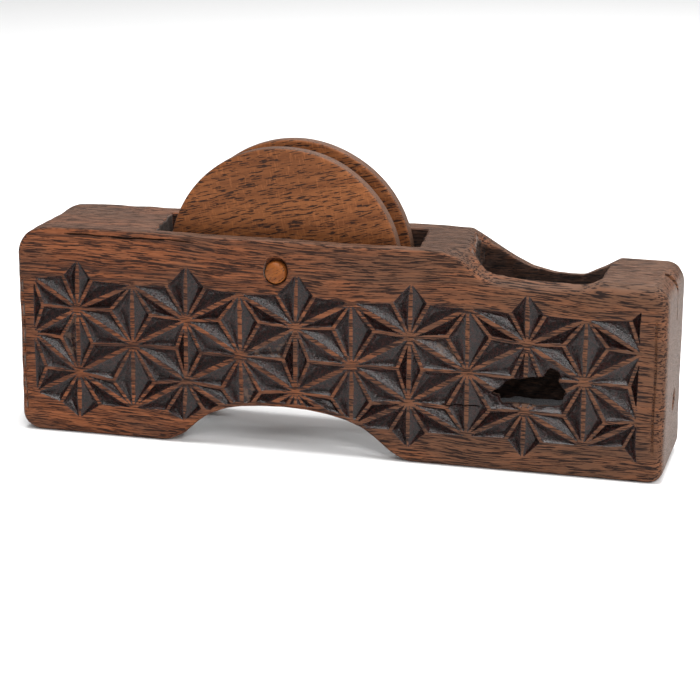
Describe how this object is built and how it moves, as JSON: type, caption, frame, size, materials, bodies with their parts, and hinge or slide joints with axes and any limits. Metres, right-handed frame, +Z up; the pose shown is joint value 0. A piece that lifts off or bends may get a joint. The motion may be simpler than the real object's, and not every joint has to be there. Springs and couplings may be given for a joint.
{
  "type": "carpenters ink line",
  "caption": "Straight wooden ink line block: a free-spinning reel in a through mortise on an axle pin, an ink well with soaked wadding, a grip arch and a carved hemp-leaf front.",
  "frame": {"origin": "middle of the block in length and width, on the plane of its two feet", "axes": "+X along the block towards the end where the line leaves, +Y from the carved front to the back, +Z up"},
  "size_m": [0.225, 0.0446, 0.1037],
  "materials": {
    "body_wood": "dark red-brown open-pored wood, hand worn, ink black in the carving",
    "reel_wood": "orange-brown open-pored wood, worn smooth at the rims",
    "drum_wood": "dark turned wood, stained by ink",
    "peg_bamboo": "end grain of split bamboo",
    "pin_wood": "whittled orange-brown wood, satin",
    "inked_wadding": "silk wadding soaked in black ink, dried"
  },
  "bodies": {
    "block": {"tsubo_body": "body_wood"},
    "reel": {"front_reel_flange": "reel_wood", "back_reel_flange": "reel_wood", "reel_drum": "drum_wood", "reel_pegs": "peg_bamboo"},
    "axle_pin": {"axle_pin": "pin_wood"},
    "ink_wadding": {"ink_wadding": "inked_wadding"}
  },
  "joints": [
    {"name": "reel_spin", "type": "hinge", "parent": "block", "child": "reel", "pos_m": [-0.0195, 0, 0.0625], "axis": [0, 1, 0], "continuous": true},
    {"name": "pin_withdraw", "type": "slide", "parent": "block", "child": "axle_pin", "axis": [0, -1, 0], "range_m": [0, 0.048]},
    {"name": "wadding_lift", "type": "slide", "parent": "block", "child": "ink_wadding", "axis": [0, 0, 1], "range_m": [0, 0.06]}
  ]
}
